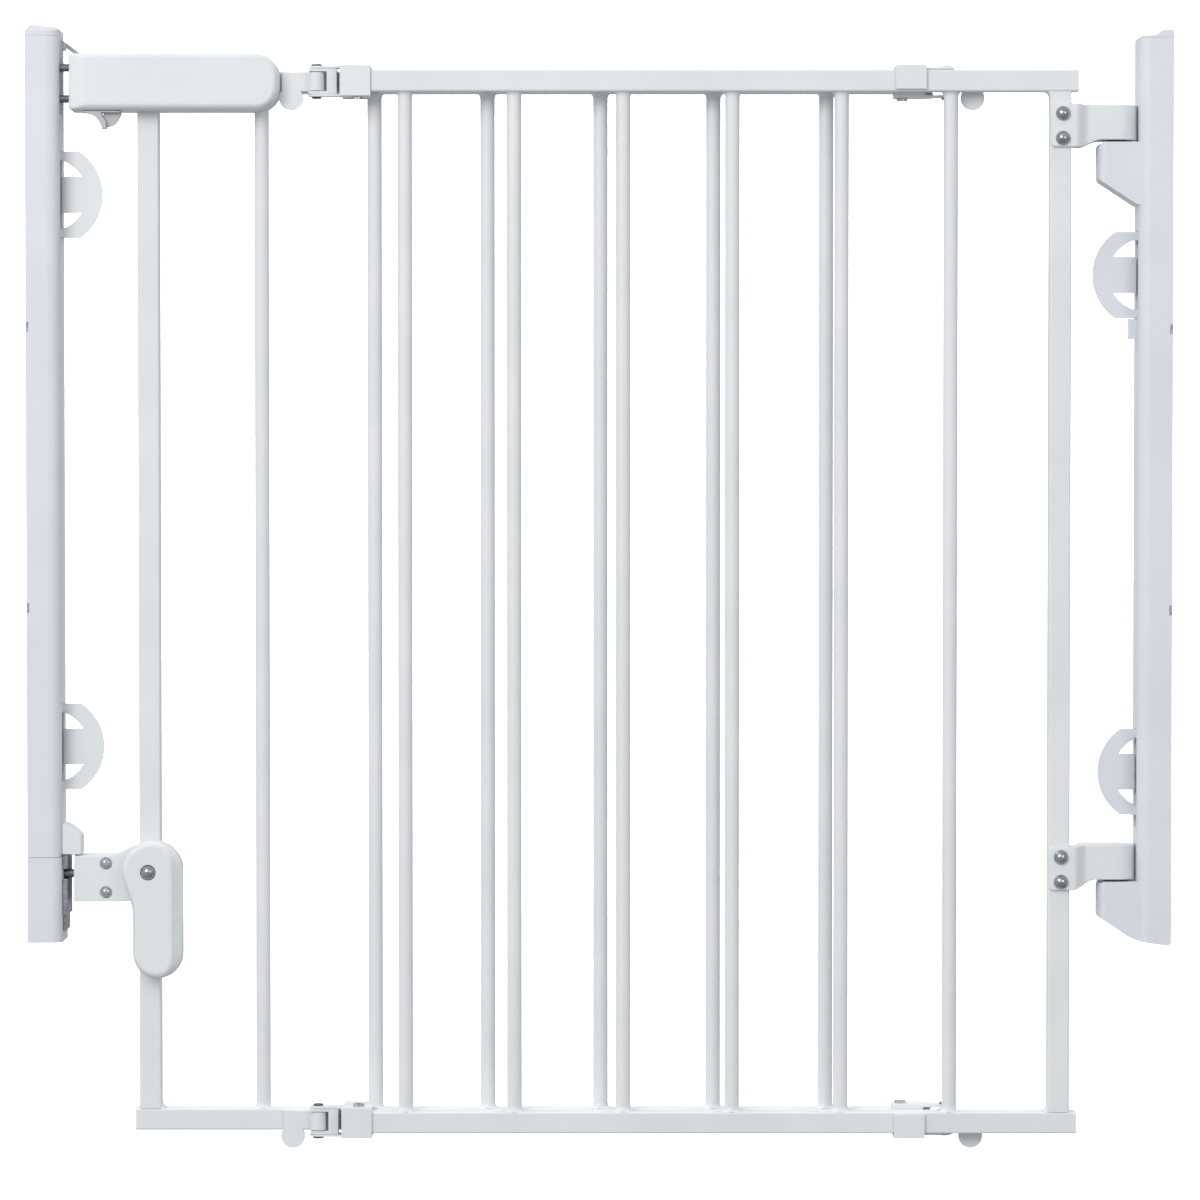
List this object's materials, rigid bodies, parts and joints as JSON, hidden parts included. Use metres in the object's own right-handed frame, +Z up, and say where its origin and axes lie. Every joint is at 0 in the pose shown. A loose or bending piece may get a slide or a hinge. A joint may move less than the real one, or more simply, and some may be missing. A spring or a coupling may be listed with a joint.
{
  "type": "stair gate with latch",
  "caption": "White steel stair gate with a two-point latch, telescoping barred frames, side hinges and full-height wall rails.",
  "frame": {"origin": "centre of the hinge-side wall strip's face against the wall", "axes": "+X out of the opening into the hinge wall, +Y from the front of the gate to its back, +Z up"},
  "size_m": [0.821, 0.05, 0.8098],
  "materials": {
    "white_paint": "powder coat, satin",
    "white_plastic": "satin moulded",
    "bright_steel": "bright plated",
    "zinc_steel": "zinc plated",
    "dark_steel": "dull",
    "grey_plastic": "moulded"
  },
  "bodies": {
    "hinge_wall": {"hinge_wall_strip": "zinc_steel", "hinge_rail": "white_plastic", "hinge_rail_cap": "white_plastic", "hinge_lug_upper": "white_plastic", "hinge_lug_lower": "white_plastic", "hinge_washers": "dark_steel"},
    "hinge_clip_top": {"hinge_clip_upper": "white_plastic"},
    "hinge_clip_low": {"hinge_clip_lower": "white_plastic"},
    "front_frame": {"front_top_rail": "white_paint", "front_bottom_rail": "white_paint", "front_post": "white_paint", "front_bars": "white_paint", "front_end_caps": "white_plastic", "hinge_arm_upper": "white_plastic", "hinge_arm_lower": "white_plastic", "hinge_pins": "zinc_steel", "hinge_arm_bolts": "bright_steel", "sleeve_upper": "white_paint", "sleeve_lower": "white_paint", "sleeve_screws": "zinc_steel", "front_yokes": "white_paint", "front_pivots": "zinc_steel"},
    "lever_top_left": {"lock_lever_upper_left": "white_paint"},
    "lever_low_left": {"lock_lever_lower_left": "white_paint"},
    "rear_frame": {"rear_top_rail": "white_paint", "rear_bottom_rail": "white_paint", "rear_post": "white_paint", "rear_bars": "white_paint", "rear_end_caps": "white_plastic", "clip_upper": "white_paint", "clip_lower": "white_paint", "clip_screws": "zinc_steel", "rear_pivots": "zinc_steel", "housing_front": "white_plastic", "housing_rear": "white_plastic", "housing_screws": "zinc_steel", "carriage_spring": "zinc_steel", "lower_arm_front": "white_plastic", "lower_arm_rear": "white_plastic", "lower_arm_screws": "zinc_steel", "lever_bolt": "bright_steel", "lower_pin_spring": "zinc_steel"},
    "lever_top_right": {"lock_lever_upper_right": "white_paint"},
    "lever_low_right": {"lock_lever_lower_right": "white_paint"},
    "latch_bolt": {"bolt_carriage": "grey_plastic", "latch_pins": "dark_steel", "latch_trigger": "grey_plastic"},
    "latch_handle": {"latch_lever": "white_plastic"},
    "lower_bolt": {"lower_pin": "dark_steel"},
    "latch_wall": {"latch_wall_strip": "zinc_steel", "latch_rail": "white_plastic", "latch_rail_cap": "white_plastic", "latch_rail_foot": "white_plastic", "upper_strike": "dark_steel", "lower_strike": "dark_steel", "strike_hood": "white_plastic"},
    "latch_clip_top": {"latch_clip_upper": "white_plastic"},
    "latch_clip_low": {"latch_clip_lower": "white_plastic"}
  },
  "joints": [
    {"name": "gate_swing", "type": "hinge", "parent": "hinge_wall", "child": "front_frame", "pos_m": [-0.0395, 0, 0], "axis": [0, 0, 1], "range_deg": [0, 90]},
    {"name": "opening_width", "type": "slide", "parent": "front_frame", "child": "rear_frame", "axis": [-1, 0, 0], "range_m": [0, 0.25]},
    {"name": "latch_wall_distance", "type": "slide", "parent": "hinge_wall", "child": "latch_wall", "axis": [-1, 0, 0], "range_m": [0, 0.25]},
    {"name": "upper_left_lock", "type": "hinge", "parent": "front_frame", "child": "lever_top_left", "pos_m": [-0.6129, -0.0062, 0.28885], "axis": [0, 0, 1], "range_deg": [0, 90]},
    {"name": "lower_left_lock", "type": "hinge", "parent": "front_frame", "child": "lever_low_left", "pos_m": [-0.6129, -0.0062, -0.45765], "axis": [0, 0, 1], "range_deg": [0, 90]},
    {"name": "upper_right_lock", "type": "hinge", "parent": "rear_frame", "child": "lever_top_right", "pos_m": [-0.1615, 0.0026, 0.28885], "axis": [0, 0, 1], "range_deg": [0, 90]},
    {"name": "lower_right_lock", "type": "hinge", "parent": "rear_frame", "child": "lever_low_right", "pos_m": [-0.1615, 0.0026, -0.45765], "axis": [0, 0, 1], "range_deg": [0, 90]},
    {"name": "latch_release", "type": "slide", "parent": "rear_frame", "child": "latch_bolt", "axis": [1, 0, 0], "range_m": [0, 0.009], "stiffness_N_per_m": 300, "springref_m": -0.02, "deforming": ["carriage_spring"]},
    {"name": "handle_turn", "type": "hinge", "parent": "rear_frame", "child": "latch_handle", "pos_m": [-0.7335, -0.019, -0.277], "axis": [0, -1, 0], "range_deg": [0, 25], "stiffness_Nm_per_rad": 0.4, "springref_deg": -17.19, "deforming": ["lower_pin_spring"]},
    {"name": "lower_pin_slide", "type": "slide", "parent": "rear_frame", "child": "lower_bolt", "axis": [1, 0, 0], "range_m": [0, 0.0062]},
    {"name": "hinge_clip_upper_push", "type": "slide", "parent": "hinge_wall", "child": "hinge_clip_top", "axis": [1, 0, 0], "range_m": [0, 0.014]},
    {"name": "hinge_clip_lower_push", "type": "slide", "parent": "hinge_wall", "child": "hinge_clip_low", "axis": [1, 0, 0], "range_m": [0, 0.014]},
    {"name": "latch_clip_upper_push", "type": "slide", "parent": "latch_wall", "child": "latch_clip_top", "axis": [-1, 0, 0], "range_m": [0, 0.014]},
    {"name": "latch_clip_lower_push", "type": "slide", "parent": "latch_wall", "child": "latch_clip_low", "axis": [-1, 0, 0], "range_m": [0, 0.014]}
  ],
  "couplings": [
    {"joint": "latch_wall_distance", "follows": "opening_width", "ratio": 1},
    {"joint": "lower_pin_slide", "follows": "handle_turn", "m_per_rad": 0.014}
  ]
}
